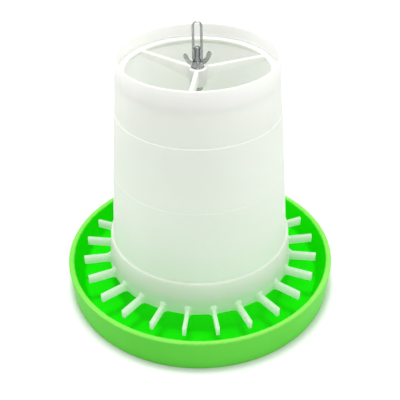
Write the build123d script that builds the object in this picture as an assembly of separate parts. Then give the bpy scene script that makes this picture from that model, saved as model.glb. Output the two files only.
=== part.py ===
from build123d import *
from math import cos, pi, radians, sin
import os

# A hanging poultry feeder: a green pan, a tapered translucent hopper that
# stands over it with a grille of radial fingers at its foot, and a threaded
# rod on the axis that joins the two and carries a hanger loop.
# Millimetres. Origin: centre of the pan's foot circle, on the surface it
# stands on. +Z is up. One bridge arm and one finger point to -Y.

# Feed pan
PAN_HEIGHT = 34.6
PAN_RIM_RADIUS = 139.1
PAN_RIM_WIDTH = 5.4
PAN_FOOT_RADIUS = 136.8
PAN_FOOT_WIDTH = 2.4
PAN_WALL = 2.0
PAN_FLOOR_TOP = 7.5
PAN_FLOOR_RADIUS = 124.0
PAN_FLOOR_FILLET = 6.0
PAN_RIM_ROUND = 1.5
PAN_LIP_ROUND = 2.2
CONE_BASE_RADIUS = 62.0
CONE_BLEND = 12.0
BOSS_RADIUS = 13.0
BOSS_TOP = 44.0
BOSS_THICKNESS = 3.2

# Hopper
HOPPER_TOP = 256.4
HOPPER_TOP_RADIUS = 73.5
HOPPER_BOTTOM = 44.0
HOPPER_TAPER = 0.078  # radius gained per millimetre down
HOPPER_WALL = 1.8
HOPPER_RIM_ROUND = 0.8
TIER_STEPS = ((204.5, 0.85), (140.7, 0.35))  # height of a tier's top, radius gained there
TIER_SHELF = 0.4  # height of the sloping shelf at a step
LEDGE_PROUD = 1.7
LEDGE_HEIGHT = 2.2
SNAP_PROUD = 0.6
SNAP_HEIGHT = 1.6

# Grille ring
GRILLE_TOP = 65.0
GRILLE_TOP_RADIUS = 92.0
GRILLE_BOTTOM = 29.0
GRILLE_BOTTOM_RADIUS = 95.5
GRILLE_SEAT_GAP = 0.1
GRILLE_LIP_RADIUS = 89.4
GRILLE_LIP_DEPTH = 2.0
GRILLE_WALL = 2.2
GRILLE_TOP_ROUND = 0.9
FINGER_COUNT = 24
FINGER_TIP_RADIUS = 122.6
FINGER_THICKNESS = 3.0
FINGER_TOP = 37.2
FINGER_BOTTOM = 28.2
FINGER_ROOT_FILLET = 4.5
GUSSET_RISE = 2.6
GUSSET_REACH = 4.0
GUSSET_HALF_WIDTH = 2.6

# Bridge across the hopper's mouth
BRIDGE_TOP = 243.0
BRIDGE_MOUTH_RADIUS = 66.0
BRIDGE_FLANGE_THICKNESS = 2.2
BRIDGE_RING_HEIGHT = 7.0
BRIDGE_RING_WALL = 2.0
BRIDGE_FIT_GAP = 0.1
ARM_COUNT = 3
ARM_THICKNESS = 3.6
ARM_WALL_DEPTH = 6.0
ARM_HUB_DEPTH = 13.5
HUB_RADIUS = 8.5
HUB_TOP = 243.6
HUB_BOTTOM = 226.6
HUB_HOLE_RADIUS = 2.7

# M5 hardware
ROD_RADIUS = 2.5
ROD_BOTTOM = 33.0
ROD_TOP = 263.0
ROD_CHAMFER = 0.6
NUT_FLATS = 8.0
NUT_HEIGHT = 4.0
FIXED_NUT_BORE = 2.52
RUNNING_NUT_BORE = 2.56
WASHER_RADIUS = 6.0
WASHER_HOLE_RADIUS = 2.65
WASHER_THICKNESS = 1.0

# Wing nut
WING_BASE_RADIUS = 5.6
WING_HUB_TOP_RADIUS = 4.5
WING_HUB_HEIGHT = 5.0
WING_TIP_RADIUS = 12.6
WING_TIP_HEIGHT = 12.6
WING_THICKNESS = 2.0
WING_AZIMUTH = 20.0

# Hanger loop
LOOP_WIRE_RADIUS = 1.2
LOOP_TOP = 286.3
LOOP_FREE_GAP = 0.4
WELD_RADIUS = 0.75
WELD_LENGTH = 9.0

WING_NUT_BASE = HUB_TOP + WASHER_THICKNESS
BIG = 400.0


def hopper_radius(z):
    """Outer radius of the hopper's wall at a height, tier steps included."""
    steps = sum(step for level, step in TIER_STEPS if z < level)
    return HOPPER_TOP_RADIUS + (HOPPER_TOP - z) * HOPPER_TAPER + steps


def turned(points, rounding):
    """Solid of revolution about Z from (radius, height) corners with corner radii."""
    outline = FilletPolyline(*[(r, 0, z) for r, z in points], radius=rounding, close=True)
    return revolve(make_face(outline), Axis.Z, 360)


def make_feed_pan():
    """Moulded pan: hollow turned-over rim, sloping inner wall, floor and central cone."""
    rim_inner = PAN_RIM_RADIUS - PAN_RIM_WIDTH
    skirt_drop = PAN_HEIGHT - PAN_WALL
    underside = PAN_FLOOR_TOP - PAN_WALL
    points = [
        (HUB_HOLE_RADIUS, BOSS_TOP),
        (BOSS_RADIUS, BOSS_TOP),
        (CONE_BASE_RADIUS, PAN_FLOOR_TOP),
        (PAN_FLOOR_RADIUS, PAN_FLOOR_TOP),
        (rim_inner, PAN_HEIGHT),
        (PAN_RIM_RADIUS, PAN_HEIGHT),
        (PAN_FOOT_RADIUS, 0),
        (PAN_FOOT_RADIUS - PAN_FOOT_WIDTH, 0),
        (PAN_RIM_RADIUS - PAN_WALL - 0.3, skirt_drop),
        (rim_inner + PAN_WALL, skirt_drop),
        (PAN_FLOOR_RADIUS + 1.0, underside),
        (CONE_BASE_RADIUS - 1.0, underside),
        (BOSS_RADIUS - 1.0, BOSS_TOP - BOSS_THICKNESS),
        (HUB_HOLE_RADIUS, BOSS_TOP - BOSS_THICKNESS),
    ]
    rounding = [
        0.4, 4.0, CONE_BLEND, PAN_FLOOR_FILLET, PAN_LIP_ROUND, PAN_RIM_ROUND, 0.5,
        0.5, 0.4, 0.4, PAN_FLOOR_FILLET + PAN_WALL, CONE_BLEND - PAN_WALL, 2.0, 0.4,
    ]
    return turned(points, rounding)


def make_hopper_shell():
    """Open tapered tube in three tiers, with a ledge and a snap bead for the bridge."""
    half = TIER_SHELF / 2
    outline = [(hopper_radius(HOPPER_BOTTOM), HOPPER_BOTTOM)]
    rounding = [0.5]
    for level, _ in reversed(TIER_STEPS):
        outline += [(hopper_radius(z), z) for z in (level - half, level + half)]
        rounding += [0.4, 0.4]
    outline += [(HOPPER_TOP_RADIUS, HOPPER_TOP), (HOPPER_TOP_RADIUS - HOPPER_WALL, HOPPER_TOP)]
    rounding += [HOPPER_RIM_ROUND, HOPPER_RIM_ROUND]

    ledge_top = BRIDGE_TOP + LEDGE_HEIGHT
    snap_top = BRIDGE_TOP - BRIDGE_RING_HEIGHT
    inside = [
        (ledge_top, 0, 0.6),
        (ledge_top - 0.8, LEDGE_PROUD, 0.5),
        (BRIDGE_TOP, LEDGE_PROUD, 0.2),
        (BRIDGE_TOP, 0, 0.0),
        (snap_top, 0, 0.0),
        (snap_top, SNAP_PROUD, 0.2),
        (snap_top - SNAP_HEIGHT, 0, 0.5),
    ]
    for level, _ in TIER_STEPS:
        inside += [(level + half, 0, 0.4), (level - half, 0, 0.4)]
    inside.append((HOPPER_BOTTOM, 0, 0.5))
    for z, proud, corner in inside:
        outline.append((hopper_radius(z) - HOPPER_WALL - proud, z))
        rounding.append(corner)
    return turned(outline, rounding)


def make_finger():
    """One radial finger to -Y, with root fillets in plan and a small gusset on its root."""
    half = FINGER_THICKNESS / 2
    root = GRILLE_BOTTOM_RADIUS - 1.2
    flare = root + FINGER_ROOT_FILLET
    inside = root - 2.0
    wide = half + FINGER_ROOT_FILLET
    diagonal = FINGER_ROOT_FILLET * (1 - cos(pi / 4))
    outline = [
        Line((half, -FINGER_TIP_RADIUS), (half, -flare)),
        ThreePointArc((half, -flare), (half + diagonal, -root - diagonal), (wide, -root)),
        Polyline((wide, -root), (wide, -inside), (-wide, -inside), (-wide, -root)),
        ThreePointArc((-wide, -root), (-half - diagonal, -root - diagonal), (-half, -flare)),
        Line((-half, -flare), (-half, -FINGER_TIP_RADIUS)),
        Line((-half, -FINGER_TIP_RADIUS), (half, -FINGER_TIP_RADIUS)),
    ]
    plan = make_face(outline)
    blade = Pos(0, 0, FINGER_BOTTOM) * extrude(plan, FINGER_TOP - FINGER_BOTTOM)
    blade = fillet(blade.edges().group_by(Axis.Y)[0], 0.4)

    gusset = Polyline(
        (-inside, FINGER_TOP - 1),
        (-root - GUSSET_REACH, FINGER_TOP - 1),
        (-root - GUSSET_REACH, FINGER_TOP),
        (-root + 0.5, FINGER_TOP + GUSSET_RISE),
        (-inside, FINGER_TOP + GUSSET_RISE),
        close=True,
    )
    tent_plan = Polyline(
        (GUSSET_HALF_WIDTH, -inside),
        (GUSSET_HALF_WIDTH, -root),
        (half, -root - GUSSET_REACH),
        (-half, -root - GUSSET_REACH),
        (-GUSSET_HALF_WIDTH, -root),
        (-GUSSET_HALF_WIDTH, -inside),
        close=True,
    )
    tent = extrude(Plane.YZ * make_face(gusset), GUSSET_HALF_WIDTH, both=True)
    tent &= Pos(0, 0, FINGER_TOP - 1) * extrude(make_face(tent_plan), GUSSET_RISE + 1)
    return blade + tent


def make_grille_ring():
    """Collar over the hopper's foot: a seat, an inner lip, a skirt and the fingers."""
    lip_low = HOPPER_BOTTOM - GRILLE_LIP_DEPTH
    seat_top = hopper_radius(GRILLE_TOP) + GRILLE_SEAT_GAP
    seat_bottom = hopper_radius(HOPPER_BOTTOM) + GRILLE_SEAT_GAP
    slope = (GRILLE_BOTTOM_RADIUS - GRILLE_TOP_RADIUS) / (GRILLE_TOP - GRILLE_BOTTOM)
    skirt_top = GRILLE_BOTTOM_RADIUS - GRILLE_WALL - slope * (lip_low - GRILLE_BOTTOM)
    points = [
        (seat_top, GRILLE_TOP),
        (seat_bottom, HOPPER_BOTTOM),
        (GRILLE_LIP_RADIUS, HOPPER_BOTTOM),
        (GRILLE_LIP_RADIUS, lip_low),
        (skirt_top, lip_low),
        (GRILLE_BOTTOM_RADIUS - GRILLE_WALL, GRILLE_BOTTOM),
        (GRILLE_BOTTOM_RADIUS, GRILLE_BOTTOM),
        (GRILLE_TOP_RADIUS, GRILLE_TOP),
    ]
    ring = turned(points, [0.3, 0.0, 0.4, 0.4, 0.6, 0.7, 0.7, GRILLE_TOP_ROUND])

    bore = Pos(0, 0, GRILLE_BOTTOM - 5) * Cylinder(
        GRILLE_BOTTOM_RADIUS - 1.5, BIG, align=(Align.CENTER, Align.CENTER, Align.MIN)
    )
    finger = make_finger() - bore
    pitch = 360 / FINGER_COUNT
    return ring + [Rot(0, 0, pitch * k) * finger for k in range(FINGER_COUNT)]


def make_top_bridge():
    """Three-armed spider: a flanged ring under the hopper's ledge, arms and a hub."""
    low = BRIDGE_TOP - BRIDGE_RING_HEIGHT
    inset = HOPPER_WALL + BRIDGE_FIT_GAP
    ring_top = hopper_radius(BRIDGE_TOP) - inset
    ring_low = hopper_radius(low) - inset
    flange_low = BRIDGE_TOP - BRIDGE_FLANGE_THICKNESS
    ring = turned(
        [
            (ring_top, BRIDGE_TOP),
            (ring_low, low),
            (ring_low - BRIDGE_RING_WALL, low),
            (ring_top - BRIDGE_RING_WALL, flange_low),
            (BRIDGE_MOUTH_RADIUS, flange_low),
            (BRIDGE_MOUTH_RADIUS, BRIDGE_TOP),
        ],
        [0.3, 0.3, 0.6, 0.8, 0.5, 0.8],
    )

    reach = ring_top - 0.8
    middle = (reach + HUB_RADIUS) / 2
    arch = BRIDGE_TOP - (ARM_WALL_DEPTH + ARM_HUB_DEPTH) / 2 + 2.2
    hub_edge = HUB_RADIUS - 2.0
    arm_side = Plane.YZ * make_face(
        [
            Line((-hub_edge, BRIDGE_TOP), (-reach, BRIDGE_TOP)),
            Line((-reach, BRIDGE_TOP), (-reach, BRIDGE_TOP - ARM_WALL_DEPTH)),
            ThreePointArc(
                (-reach, BRIDGE_TOP - ARM_WALL_DEPTH),
                (-middle, arch),
                (-hub_edge, BRIDGE_TOP - ARM_HUB_DEPTH),
            ),
            Line((-hub_edge, BRIDGE_TOP - ARM_HUB_DEPTH), (-hub_edge, BRIDGE_TOP)),
        ]
    )
    arm = extrude(arm_side, ARM_THICKNESS / 2, both=True)
    arm = fillet(arm.edges().group_by(Axis.Z)[-1].filter_by(Axis.Y), 0.8)

    hub = turned(
        [
            (HUB_HOLE_RADIUS, HUB_TOP),
            (HUB_RADIUS, HUB_TOP),
            (HUB_RADIUS - 0.4, HUB_BOTTOM),
            (HUB_HOLE_RADIUS, HUB_BOTTOM),
        ],
        [0.3, 0.9, 0.9, 0.3],
    )
    pitch = 360 / ARM_COUNT
    return ring + hub + [Rot(0, 0, pitch * k) * arm for k in range(ARM_COUNT)]


def make_rod():
    """M5 rod, drawn at its thread's outer diameter."""
    length = ROD_TOP - ROD_BOTTOM
    rod = Cylinder(ROD_RADIUS, length, align=(Align.CENTER, Align.CENTER, Align.MIN))
    return Pos(0, 0, ROD_BOTTOM) * chamfer(rod.edges(), ROD_CHAMFER)


def make_washer(low):
    """Flat washer with its lower face at a height."""
    high = low + WASHER_THICKNESS
    return turned(
        [
            (WASHER_HOLE_RADIUS, low),
            (WASHER_RADIUS, low),
            (WASHER_RADIUS, high),
            (WASHER_HOLE_RADIUS, high),
        ],
        [0.1, 0.25, 0.25, 0.1],
    )


def make_hex_nut(low, bore):
    """Hex nut with both corners chamfered, its lower face at a height."""
    hexagon = RegularPolygon(NUT_FLATS / 2, 6, major_radius=False)
    nut = extrude(hexagon, NUT_HEIGHT)
    corner = NUT_FLATS / 2 / cos(radians(30))
    dome = turned(
        [
            (0, 0),
            (NUT_FLATS / 2 - 0.1, 0),
            (corner + 0.1, 0.7),
            (corner + 0.1, NUT_HEIGHT - 0.7),
            (NUT_FLATS / 2 - 0.1, NUT_HEIGHT),
            (0, NUT_HEIGHT),
        ],
        0,
    )
    nut = nut & dome
    nut -= Cylinder(bore, NUT_HEIGHT, align=(Align.CENTER, Align.CENTER, Align.MIN))
    return Pos(0, 0, low) * nut


def make_wing_nut():
    """Wing nut: a flared hub and two ears that sweep up and out."""
    hub = turned(
        [
            (RUNNING_NUT_BORE, 0),
            (WING_BASE_RADIUS, 0),
            (WING_BASE_RADIUS, 1.2),
            (WING_HUB_TOP_RADIUS, WING_HUB_HEIGHT),
            (RUNNING_NUT_BORE, WING_HUB_HEIGHT),
        ],
        [0.2, 0.4, 0.5, 0.4, 0.2],
    )
    tip = WING_TIP_RADIUS
    top = WING_TIP_HEIGHT
    ear_side = Plane.XZ * make_face(
        [
            ThreePointArc((3.6, 0.5), (8.6, 3.3), (tip - 0.4, 9.2)),
            ThreePointArc((tip - 0.4, 9.2), (tip - 0.2, top - 0.9), (tip - 2.2, top)),
            ThreePointArc((tip - 2.2, top), (8.9, top - 1.6), (8.2, top - 3.4)),
            ThreePointArc((8.2, top - 3.4), (6.9, 6.6), (4.6, WING_HUB_HEIGHT)),
            Polyline((4.6, WING_HUB_HEIGHT), (3.6, WING_HUB_HEIGHT), (3.6, 0.5)),
        ]
    )
    ear = extrude(ear_side, WING_THICKNESS / 2, both=True)
    bore = Cylinder(RUNNING_NUT_BORE, 3 * top)
    nut = hub + (ear - bore) + (Rot(0, 0, 180) * ear - bore)
    return Pos(0, 0, WING_NUT_BASE) * Rot(0, 0, WING_AZIMUTH) * nut


def make_hanger_loop():
    """Wire loop whose legs stand either side of the rod's end, with its weld seams."""
    leg = ROD_RADIUS + LOOP_WIRE_RADIUS
    leg_low = WING_NUT_BASE + WING_HUB_HEIGHT + LOOP_FREE_GAP
    bend = LOOP_TOP - LOOP_WIRE_RADIUS - leg
    path = Line((-leg, 0, leg_low), (-leg, 0, bend))
    path += ThreePointArc((-leg, 0, bend), (0, 0, bend + leg), (leg, 0, bend))
    path += Line((leg, 0, bend), (leg, 0, leg_low))
    section = Plane(origin=(-leg, 0, leg_low), z_dir=(0, 0, 1)) * Circle(LOOP_WIRE_RADIUS)
    loop = sweep(section, path)
    loop = fillet(loop.edges().group_by(Axis.Z)[0], 0.3)

    seam_low = ROD_TOP - WELD_LENGTH - 1.5
    seam = Cylinder(WELD_RADIUS, WELD_LENGTH, align=(Align.CENTER, Align.CENTER, Align.MIN))
    seam = fillet(seam.edges().filter_by(GeomType.CIRCLE), 0.5)
    seams = [Pos(x, y, seam_low) * seam for x in (-2.85, 2.85) for y in (-1.35, 1.35)]
    clear = Pos(0, 0, leg_low - 1) * Cylinder(
        ROD_RADIUS, LOOP_TOP - leg_low, align=(Align.CENTER, Align.CENTER, Align.MIN)
    )
    return (loop + seams) - clear


BOSS_BOTTOM = BOSS_TOP - BOSS_THICKNESS
nodes = {
    "feed_pan": make_feed_pan(),
    "hopper_shell": make_hopper_shell(),
    "grille_ring": make_grille_ring(),
    "top_bridge": make_top_bridge(),
    "threaded_rod": make_rod(),
    "hanger_loop": make_hanger_loop(),
    "wing_nut": make_wing_nut(),
    "bridge_washer_upper": make_washer(HUB_TOP),
    "bridge_washer_lower": make_washer(HUB_BOTTOM - WASHER_THICKNESS),
    "stop_nut": make_hex_nut(HUB_BOTTOM - WASHER_THICKNESS - NUT_HEIGHT, RUNNING_NUT_BORE),
    "pan_washer_upper": make_washer(BOSS_TOP),
    "pan_nut_upper": make_hex_nut(BOSS_TOP + WASHER_THICKNESS, FIXED_NUT_BORE),
    "pan_washer_lower": make_washer(BOSS_BOTTOM - WASHER_THICKNESS),
    "pan_nut_lower": make_hex_nut(BOSS_BOTTOM - WASHER_THICKNESS - NUT_HEIGHT, FIXED_NUT_BORE),
}

os.makedirs("parts", exist_ok=True)
for name, solid in nodes.items():
    export_step(solid, f"parts/{name}.step")
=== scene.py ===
import math

import bmesh
import bpy
from mathutils import Matrix, Vector


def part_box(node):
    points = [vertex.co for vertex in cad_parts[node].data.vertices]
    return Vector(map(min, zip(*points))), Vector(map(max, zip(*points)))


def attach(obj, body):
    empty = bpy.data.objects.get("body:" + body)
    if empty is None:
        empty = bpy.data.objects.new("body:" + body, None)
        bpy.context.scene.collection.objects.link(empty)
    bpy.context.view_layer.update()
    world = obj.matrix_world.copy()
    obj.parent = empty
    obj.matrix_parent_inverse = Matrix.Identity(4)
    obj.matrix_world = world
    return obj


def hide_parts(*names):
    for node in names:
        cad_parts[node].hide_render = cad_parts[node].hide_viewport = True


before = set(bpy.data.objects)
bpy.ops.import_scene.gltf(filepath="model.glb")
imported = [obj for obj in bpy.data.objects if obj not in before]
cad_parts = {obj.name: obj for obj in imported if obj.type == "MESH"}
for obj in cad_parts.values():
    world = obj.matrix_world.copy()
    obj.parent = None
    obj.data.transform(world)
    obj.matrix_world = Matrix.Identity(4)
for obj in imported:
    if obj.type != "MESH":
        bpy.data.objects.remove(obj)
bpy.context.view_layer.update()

PAN_TOP = 0.0346             # metres, height of the pan's rim
PAN_INSIDE_RADIUS = 0.1335   # where the rim's inner edge starts

# ---------------------------------------------------------------- camera and studio

CAMERA_AZIMUTH = 7.5        # degrees, turned from -Y towards +X
CAMERA_DISTANCE = 0.573     # metres, level distance from the rod's axis
CAMERA_HEIGHT = 0.510
CAMERA_PITCH = 35.8         # degrees below level
CAMERA_SWING = -0.07        # degrees, the aim past the axis
CAMERA_ROLL = -0.7
CAMERA_LENS = 62.4          # millimetres
SENSOR_WIDTH = 36.0

WORLD_STRENGTH = 0.62
LIGHT_TARGET = (0, 0, 0.12)
FLOOR_REACH = 4.0           # metres, from the axis to each edge
FLOOR_DROP = 0.0001         # just below the pan's foot

# name, place, size in metres, power in watts
LIGHTS = (
    ("front_light", (0.4, -1.2, 1.5), 0.6, 4),
    ("top_light", (-0.05, 0.05, 1.9), 0.5, 27),
    ("left_light", (-1.6, 0.3, 0.6), 1.0, 8),
    ("right_light", (1.6, 0.2, 0.6), 1.0, 8),
)


def add_camera():
    """The camera, looking down at the rod's axis from the front."""
    azimuth = math.radians(CAMERA_AZIMUTH)
    data = bpy.data.cameras.new("camera")
    data.lens = CAMERA_LENS
    data.sensor_width = SENSOR_WIDTH
    data.clip_end = 20.0
    camera = bpy.data.objects.new("camera", data)
    bpy.context.scene.collection.objects.link(camera)
    place = Vector((math.sin(azimuth), -math.cos(azimuth), 0)) * CAMERA_DISTANCE
    turn = (
        Matrix.Rotation(azimuth + math.radians(CAMERA_SWING), 4, "Z")
        @ Matrix.Rotation(math.radians(90 - CAMERA_PITCH), 4, "X")
        @ Matrix.Rotation(math.radians(CAMERA_ROLL), 4, "Z")
    )
    camera.matrix_world = Matrix.Translation(place + Vector((0, 0, CAMERA_HEIGHT))) @ turn
    bpy.context.scene.camera = camera


def add_area_light(name, place, target, size, power):
    """A square soft box that faces a target point."""
    data = bpy.data.lights.new(name, "AREA")
    data.size = size
    data.energy = power
    light = bpy.data.objects.new(name, data)
    bpy.context.scene.collection.objects.link(light)
    light.location = place
    light.rotation_euler = (Vector(target) - Vector(place)).to_track_quat("-Z", "Y").to_euler()


def add_studio():
    """White surroundings, four soft boxes and a pale floor."""
    scene = bpy.context.scene
    world = bpy.data.worlds.new("studio")
    world.use_nodes = True
    background = world.node_tree.nodes["Background"]
    background.inputs["Color"].default_value = (1.0, 1.0, 1.0, 1.0)
    background.inputs["Strength"].default_value = WORLD_STRENGTH
    scene.world = world
    scene.view_settings.view_transform = "Standard"
    scene.view_settings.look = "None"
    for name, place, size, power in LIGHTS:
        add_area_light(name, place, LIGHT_TARGET, size, power)

    floor_mesh = bpy.data.meshes.new("floor")
    ends = ((-1, -1), (1, -1), (1, 1), (-1, 1))
    corners = [(FLOOR_REACH * x, FLOOR_REACH * y, 0) for x, y in ends]
    floor_mesh.from_pydata(corners, [], [(0, 1, 2, 3)])
    floor = bpy.data.objects.new("floor", floor_mesh)
    floor.location = (0, 0, -FLOOR_DROP)
    scene.collection.objects.link(floor)
    floor_mesh.materials.append(floor_paper())


# ---------------------------------------------------------------- node helpers

class Nodes:
    """A material with its Principled shader, and short calls that add nodes to it."""

    def __init__(self, name):
        self.material = bpy.data.materials.new(name)
        self.material.use_nodes = True
        self.tree = self.material.node_tree
        self.shader = self.tree.nodes["Principled BSDF"]
        self.output = self.tree.nodes["Material Output"]
        coordinates = self.tree.nodes.new("ShaderNodeTexCoord")
        self.place = coordinates.outputs["Object"]

    def add(self, kind, **settings):
        node = self.tree.nodes.new(kind)
        for key, value in settings.items():
            setattr(node, key, value)
        return node

    def join(self, source, target):
        self.tree.links.new(source, target)

    def set(self, **values):
        for key, value in values.items():
            self.shader.inputs[key.replace("_", " ")].default_value = value

    def noise(self, scale, detail=3.0, roughness=0.5, stretch=(1, 1, 1)):
        mapping = self.add("ShaderNodeMapping")
        mapping.inputs["Scale"].default_value = stretch
        self.join(self.place, mapping.inputs["Vector"])
        node = self.add("ShaderNodeTexNoise")
        node.inputs["Scale"].default_value = scale
        node.inputs["Detail"].default_value = detail
        node.inputs["Roughness"].default_value = roughness
        self.join(mapping.outputs["Vector"], node.inputs["Vector"])
        return node.outputs["Fac"]

    def ramp(self, source, low, high, start, end):
        """Maps source from low..high to start..end."""
        node = self.add("ShaderNodeMapRange")
        node.inputs["From Min"].default_value = low
        node.inputs["From Max"].default_value = high
        node.inputs["To Min"].default_value = start
        node.inputs["To Max"].default_value = end
        self.join(source, node.inputs["Value"])
        return node.outputs["Result"]

    def mix(self, share, first, second):
        node = self.add("ShaderNodeMix", data_type="RGBA")
        self.join(share, node.inputs["Factor"])
        for socket, colour in ((node.inputs["A"], first), (node.inputs["B"], second)):
            if isinstance(colour, tuple):
                socket.default_value = (*colour, 1.0)
            else:
                self.join(colour, socket)
        return node.outputs["Result"]

    def radius(self):
        """Distance from the upright axis."""
        flat = self.add("ShaderNodeVectorMath", operation="MULTIPLY")
        flat.inputs[1].default_value = (1, 1, 0)
        self.join(self.place, flat.inputs[0])
        length = self.add("ShaderNodeVectorMath", operation="LENGTH")
        self.join(flat.outputs["Vector"], length.inputs[0])
        return length.outputs["Value"]

    def height(self):
        split = self.add("ShaderNodeSeparateXYZ")
        self.join(self.place, split.inputs[0])
        return split.outputs["Z"]

    def math(self, operation, first, second):
        node = self.add("ShaderNodeMath", operation=operation)
        for socket, value in zip(node.inputs, (first, second)):
            if isinstance(value, (int, float)):
                socket.default_value = value
            else:
                self.join(value, socket)
        return node.outputs[0]

    def bump(self, height, strength, distance, normal=None):
        node = self.add("ShaderNodeBump")
        node.inputs["Strength"].default_value = strength
        node.inputs["Distance"].default_value = distance
        self.join(height, node.inputs["Height"])
        if normal:
            self.join(normal, node.inputs["Normal"])
        return node.outputs["Normal"]


# ---------------------------------------------------------------- materials

def floor_paper():
    """Matt white studio paper."""
    m = Nodes("floor_paper")
    tone = m.ramp(m.noise(3.0), 0.3, 0.7, 0.0, 1.0)
    m.join(m.mix(tone, (0.80, 0.80, 0.805), (0.81, 0.81, 0.815)), m.shader.inputs["Base Color"])
    m.set(Roughness=0.9)
    m.set(**{"Specular_IOR_Level": 0.1})
    return m.material


def milky_plastic(name, through, clear):
    """Translucent moulded polypropylene: milky, satin, a little uneven in thickness."""
    m = Nodes(name)
    cloud = m.ramp(m.noise(14.0, 4.0), 0.35, 0.65, 0.0, 1.0)
    colour = m.mix(cloud, (0.95, 0.95, 0.93), (0.97, 0.97, 0.955))
    m.join(colour, m.shader.inputs["Base Color"])
    rough = m.ramp(m.noise(60.0, 3.0), 0.3, 0.7, 0.34, 0.46)
    m.join(rough, m.shader.inputs["Roughness"])
    m.set(IOR=1.49, Transmission_Weight=clear)
    m.set(**{"Specular_IOR_Level": 0.5})
    flow = m.noise(9.0, 3.0, 0.5, (1, 1, 0.25))
    grain = m.bump(m.noise(220.0, 2.0), 0.05, 0.0004)
    normal = m.bump(flow, 0.15, 0.002, grain)
    m.join(normal, m.shader.inputs["Normal"])
    glow = m.add("ShaderNodeBsdfTranslucent")
    m.join(colour, glow.inputs["Color"])
    m.join(normal, glow.inputs["Normal"])
    blend = m.add("ShaderNodeMixShader")
    blend.inputs["Fac"].default_value = through
    m.join(m.shader.outputs["BSDF"], blend.inputs[1])
    m.join(glow.outputs["BSDF"], blend.inputs[2])
    m.join(blend.outputs["Shader"], m.output.inputs["Surface"])
    return m.material


def green_plastic():
    """Bright green moulded pan plastic: a deep green inside as painted shade, a paler outer wall
    as a painted reflection of the white surroundings, and a paler rim top as a painted
    highlight.
    """
    m = Nodes("green_plastic")
    cloud = m.ramp(m.noise(9.0, 4.0), 0.35, 0.65, 0.0, 1.0)
    # Painted shade: the inside is a deeper, purer green than the outer wall. The outer wall's
    # paler green is a painted reflection of the white surroundings. The two meet at the rim's
    # inner edge.
    inside = m.mix(cloud, (0.004, 0.60, 0.0003), (0.007, 0.64, 0.0006))
    outside = m.mix(cloud, (0.105, 0.57, 0.048), (0.125, 0.61, 0.058))
    # Painted highlight: a paler green on the rim's top, where the top light falls.
    rim_highlight_tone = m.mix(cloud, (0.17, 0.58, 0.075), (0.21, 0.62, 0.095))
    across = m.ramp(m.radius(), PAN_INSIDE_RADIUS, PAN_INSIDE_RADIUS + 0.002, 0.0, 1.0)
    # Noise wobbles the lower edge of the painted rim highlight.
    highlight_edge_wobble = m.ramp(m.noise(120.0, 4.0), 0.3, 0.7, -0.0006, 0.0006)
    height = m.math("ADD", m.height(), highlight_edge_wobble)
    on_rim = m.ramp(height, PAN_TOP - 0.0016, PAN_TOP - 0.0002, 0.0, 1.0)
    colour = m.mix(on_rim, m.mix(across, inside, outside), rim_highlight_tone)
    m.join(colour, m.shader.inputs["Base Color"])
    rough = m.ramp(m.noise(45.0, 4.0), 0.3, 0.7, 0.34, 0.46)
    m.join(rough, m.shader.inputs["Roughness"])
    m.set(IOR=1.5)
    m.set(**{"Specular_IOR_Level": 0.04})
    m.join(m.bump(m.noise(260.0, 2.0), 0.06, 0.0004), m.shader.inputs["Normal"])
    return m.material


def zinc_steel():
    """Bright zinc plating: clean metal, faint blue-grey mottle, darker in the pits."""
    m = Nodes("zinc_plate")
    mottle = m.ramp(m.noise(500.0, 4.0, 0.6), 0.3, 0.7, 0.0, 1.0)
    colour = m.mix(mottle, (0.34, 0.35, 0.36), (0.52, 0.53, 0.53))
    pits = m.ramp(m.noise(1400.0, 2.0), 0.62, 0.70, 0.0, 1.0)
    m.join(m.mix(pits, colour, (0.14, 0.14, 0.14)), m.shader.inputs["Base Color"])
    rough = m.ramp(m.noise(700.0, 3.0), 0.3, 0.7, 0.14, 0.28)
    m.join(rough, m.shader.inputs["Roughness"])
    m.set(Metallic=1.0)
    m.join(m.bump(m.noise(900.0, 2.0), 0.06, 0.0002), m.shader.inputs["Normal"])
    return m.material


def dress(material, *nodes):
    """Gives CAD nodes a material."""
    for node in nodes:
        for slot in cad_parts[node].material_slots:
            slot.material = material


# ---------------------------------------------------------------- threaded rod

THREAD_PITCH = 0.0008
THREAD_DEPTH = 0.00045
THREAD_ROUND = 24        # points around the rod
THREAD_ROWS = 6          # rows of points in one pitch
THREAD_RUN_OUT = 0.0016
TOP_THREAD = 0.062       # length of the thread at each end
BOTTOM_THREAD = 0.026
ROD_CHAMFER = 0.0006


def thread_share(low, high, z):
    """1 on the threaded ends, falling to 0 where each thread runs out into the plain shank."""
    from_top = (z - (high - TOP_THREAD)) / THREAD_RUN_OUT
    from_bottom = (low + BOTTOM_THREAD - z) / THREAD_RUN_OUT
    return min(1.0, max(0.0, from_top, from_bottom))


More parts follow.
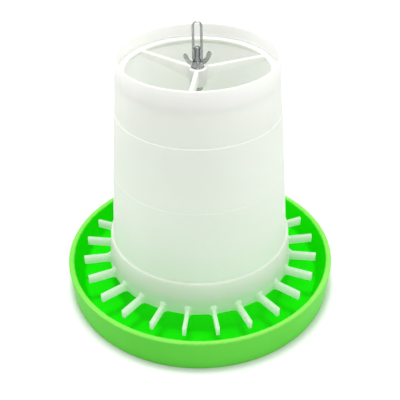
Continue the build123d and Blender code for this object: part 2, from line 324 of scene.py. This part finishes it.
def rod_rows(low, high):
    """Heights of the rows of points: close together on the threads, none on the shank."""
    step = THREAD_PITCH / THREAD_ROWS
    bottom_count = round(BOTTOM_THREAD / step)
    top_count = round(TOP_THREAD / step)
    rows = [low + step * k for k in range(bottom_count + 1)]
    rows += [high - step * k for k in range(top_count, -1, -1)]
    return rows


def add_rod():
    """The rod with real screw threads at both ends, in place of the plain CAD rod."""
    (_, _, low), (outer, _, high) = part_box("threaded_rod")
    mesh = bmesh.new()
    rings = []
    for z in rod_rows(low, high):
        end_cut = max(0.0, ROD_CHAMFER - min(z - low, high - z))
        ring = []
        for k in range(THREAD_ROUND):
            phase = (z / THREAD_PITCH - k / THREAD_ROUND) % 1.0
            groove = THREAD_DEPTH * (1 - abs(2 * phase - 1)) * thread_share(low, high, z)
            radius = min(outer - groove, outer - end_cut)
            angle = 2 * math.pi * k / THREAD_ROUND
            ring.append(mesh.verts.new((radius * math.cos(angle), radius * math.sin(angle), z)))
        rings.append(ring)
    for below, above in zip(rings, rings[1:]):
        for k in range(THREAD_ROUND):
            n = (k + 1) % THREAD_ROUND
            mesh.faces.new((below[k], below[n], above[n], above[k])).smooth = True
    mesh.faces.new(reversed(rings[0]))
    mesh.faces.new(rings[-1])
    data = bpy.data.meshes.new("rod_with_threads")
    mesh.to_mesh(data)
    mesh.free()
    rod = bpy.data.objects.new("rod_with_threads", data)
    bpy.context.scene.collection.objects.link(rod)
    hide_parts("threaded_rod")
    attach(rod, "pan_and_rod")
    return rod


add_camera()
add_studio()

dress(milky_plastic("milky_hopper", 0.60, 0.0), "hopper_shell")
dress(milky_plastic("milky_bridge", 0.45, 0.0), "top_bridge")
dress(milky_plastic("milky_grille", 0.72, 0.12), "grille_ring")
dress(green_plastic(), "feed_pan")
zinc = zinc_steel()
add_rod().data.materials.append(zinc)
dress(
    zinc,
    "hanger_loop", "wing_nut", "stop_nut", "bridge_washer_upper", "bridge_washer_lower",
    "pan_washer_upper", "pan_nut_upper", "pan_washer_lower", "pan_nut_lower",
)
